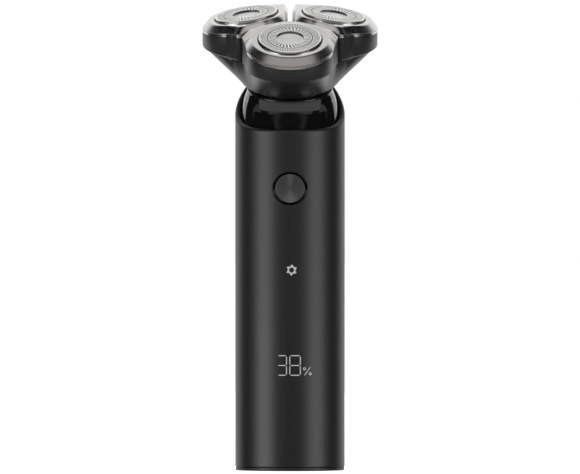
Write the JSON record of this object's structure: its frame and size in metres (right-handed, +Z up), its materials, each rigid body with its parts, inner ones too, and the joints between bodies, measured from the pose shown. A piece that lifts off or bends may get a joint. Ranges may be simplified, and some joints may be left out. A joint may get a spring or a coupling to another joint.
{
  "type": "rotary electric shaver",
  "caption": "Cordless rotary shaver: straight round handle with a display and a button, and a tilting head with round cutters under slotted caps.",
  "frame": {"origin": "centre of the flat base", "axes": "+Z up the handle's axis, -Y towards the button and display, +X to the right as seen from the front"},
  "size_m": [0.0598, 0.0545, 0.1592],
  "materials": {
    "satin_black_metal": "satin black metallic coating",
    "gloss_black": "piano gloss",
    "satin_black_plastic": "satin",
    "spun_metal": "dark concentric spun",
    "brushed_steel": "fine brushed",
    "plain_steel": "plain",
    "grey_plastic": "moulded",
    "white_plastic": "moulded",
    "rubber": "matt",
    "board_green": "solder mask",
    "cell_wrap": "shrink wrap",
    "clear_plastic": "light guide",
    "red_wire": "wire insulation"
  },
  "bodies": {
    "handle": {"body_shell": "satin_black_metal", "base_cap": "satin_black_plastic", "base_seal": "rubber", "charge_port": "plain_steel", "charge_port_tongue": "satin_black_plastic", "chassis": "grey_plastic", "battery": "cell_wrap", "battery_lead_positive": "red_wire", "battery_lead_negative": "rubber", "main_board": "board_green", "power_switch": "plain_steel", "display_module": "white_plastic", "display_light_guide": "clear_plastic", "indicator_light_guide": "clear_plastic", "button_bezel": "gloss_black", "button_membrane": "rubber", "motor_can": "plain_steel", "motor_end_bell": "white_plastic", "motor_mount": "grey_plastic", "motor_screw_left": "plain_steel", "motor_screw_right": "plain_steel", "shaft_seal": "rubber", "neck_collar": "gloss_black", "neck_seal": "rubber"},
    "button": {"power_button": "spun_metal"},
    "rotor": {"motor_rotor": "plain_steel", "drive_coupling": "white_plastic"},
    "tilt_ring": {"tilt_ring": "plain_steel"},
    "seat": {"head_seat": "satin_black_plastic"},
    "head": {"head_housing": "satin_black_plastic", "magnet_left": "plain_steel", "magnet_right": "plain_steel", "gear_plate": "grey_plastic", "pod_bridge": "plain_steel"},
    "sun_gear": {"sun_gear": "white_plastic"},
    "drive_gear_1": {"drive_gear_1": "white_plastic", "spindle_spring_1": "plain_steel"},
    "pod_1": {"pod_1": "satin_black_plastic", "pod_pin_1": "plain_steel", "steel_frame_1": "brushed_steel", "float_ring_1": "grey_plastic", "foil_cap_1": "brushed_steel"},
    "cutter_1": {"inner_cutter_1": "brushed_steel"},
    "drive_gear_2": {"drive_gear_2": "white_plastic", "spindle_spring_2": "plain_steel"},
    "pod_2": {"pod_2": "satin_black_plastic", "pod_pin_2": "plain_steel", "steel_frame_2": "brushed_steel", "float_ring_2": "grey_plastic", "foil_cap_2": "brushed_steel"},
    "cutter_2": {"inner_cutter_2": "brushed_steel"},
    "drive_gear_3": {"drive_gear_3": "white_plastic", "spindle_spring_3": "plain_steel"},
    "pod_3": {"pod_3": "satin_black_plastic", "pod_pin_3": "plain_steel", "steel_frame_3": "brushed_steel", "float_ring_3": "grey_plastic", "foil_cap_3": "brushed_steel"},
    "cutter_3": {"inner_cutter_3": "brushed_steel"}
  },
  "joints": [
    {"name": "power_button_press", "type": "slide", "parent": "handle", "child": "button", "axis": [0, 1, 0], "range_m": [0, 0.0006], "stiffness_N_per_m": 800, "springref_m": -0.001},
    {"name": "motor_spin", "type": "hinge", "parent": "handle", "child": "rotor", "pos_m": [0, 0.0008, 0.1], "axis": [0, 0, 1], "continuous": true},
    {"name": "head_pitch", "type": "hinge", "parent": "handle", "child": "tilt_ring", "pos_m": [0, 0.0026, 0.12887], "axis": [1, 0, 0], "range_deg": [-3.5, 3.5], "stiffness_Nm_per_rad": 1},
    {"name": "head_roll", "type": "hinge", "parent": "tilt_ring", "child": "seat", "pos_m": [0, 0.0026, 0.12887], "axis": [0, -0.9426, -0.3338], "range_deg": [-3.5, 3.5], "stiffness_Nm_per_rad": 1},
    {"name": "head_pull_off", "type": "slide", "parent": "seat", "child": "head", "axis": [0, -0.3338, 0.9426], "range_m": [0, 0.02]},
    {"name": "sun_gear_spin", "type": "hinge", "parent": "head", "child": "sun_gear", "pos_m": [0, -0.00174, 0.14113], "axis": [0, -0.3338, 0.9426], "continuous": true},
    {"name": "drive_gear_1_spin", "type": "hinge", "parent": "head", "child": "drive_gear_1", "pos_m": [0, -0.01862, 0.13727], "axis": [0, -0.3338, 0.9426], "continuous": true},
    {"name": "pod_1_float", "type": "hinge", "parent": "head", "child": "pod_1", "pos_m": [0, -0.00759, 0.14266], "axis": [1, 0, 0], "range_deg": [0, 2.7], "stiffness_Nm_per_rad": 0.3, "springref_deg": -2.86},
    {"name": "cutter_1_spin", "type": "hinge", "parent": "pod_1", "child": "cutter_1", "pos_m": [0, -0.02194, 0.14665], "axis": [0, -0.4818, 0.8763], "continuous": true},
    {"name": "drive_gear_2_spin", "type": "hinge", "parent": "head", "child": "drive_gear_2", "pos_m": [0.0149, 0.0057, 0.14588], "axis": [0, -0.3338, 0.9426], "continuous": true},
    {"name": "pod_2_float", "type": "hinge", "parent": "head", "child": "pod_2", "pos_m": [0.00433, -0.00052, 0.14517], "axis": [-0.5, 0.8164, 0.2891], "range_deg": [0, 2.7], "stiffness_Nm_per_rad": 0.3, "springref_deg": -2.86},
    {"name": "cutter_2_spin", "type": "hinge", "parent": "pod_2", "child": "cutter_2", "pos_m": [0.0149, 0.00238, 0.15526], "axis": [0.14, -0.2533, 0.9572], "continuous": true},
    {"name": "drive_gear_3_spin", "type": "hinge", "parent": "head", "child": "drive_gear_3", "pos_m": [-0.0149, 0.0057, 0.14588], "axis": [0, -0.3338, 0.9426], "continuous": true},
    {"name": "pod_3_float", "type": "hinge", "parent": "head", "child": "pod_3", "pos_m": [-0.00433, -0.00052, 0.14517], "axis": [-0.5, -0.8164, -0.2891], "range_deg": [0, 2.7], "stiffness_Nm_per_rad": 0.3, "springref_deg": -2.86},
    {"name": "cutter_3_spin", "type": "hinge", "parent": "pod_3", "child": "cutter_3", "pos_m": [-0.0149, 0.00238, 0.15526], "axis": [-0.14, -0.2533, 0.9572], "continuous": true}
  ],
  "couplings": [
    {"joint": "sun_gear_spin", "follows": "motor_spin", "ratio": 1},
    {"joint": "drive_gear_1_spin", "follows": "motor_spin", "ratio": -0.81818},
    {"joint": "cutter_1_spin", "follows": "motor_spin", "ratio": -0.81818},
    {"joint": "drive_gear_2_spin", "follows": "motor_spin", "ratio": -0.81818},
    {"joint": "cutter_2_spin", "follows": "motor_spin", "ratio": -0.81818},
    {"joint": "drive_gear_3_spin", "follows": "motor_spin", "ratio": -0.81818},
    {"joint": "cutter_3_spin", "follows": "motor_spin", "ratio": -0.81818}
  ]
}
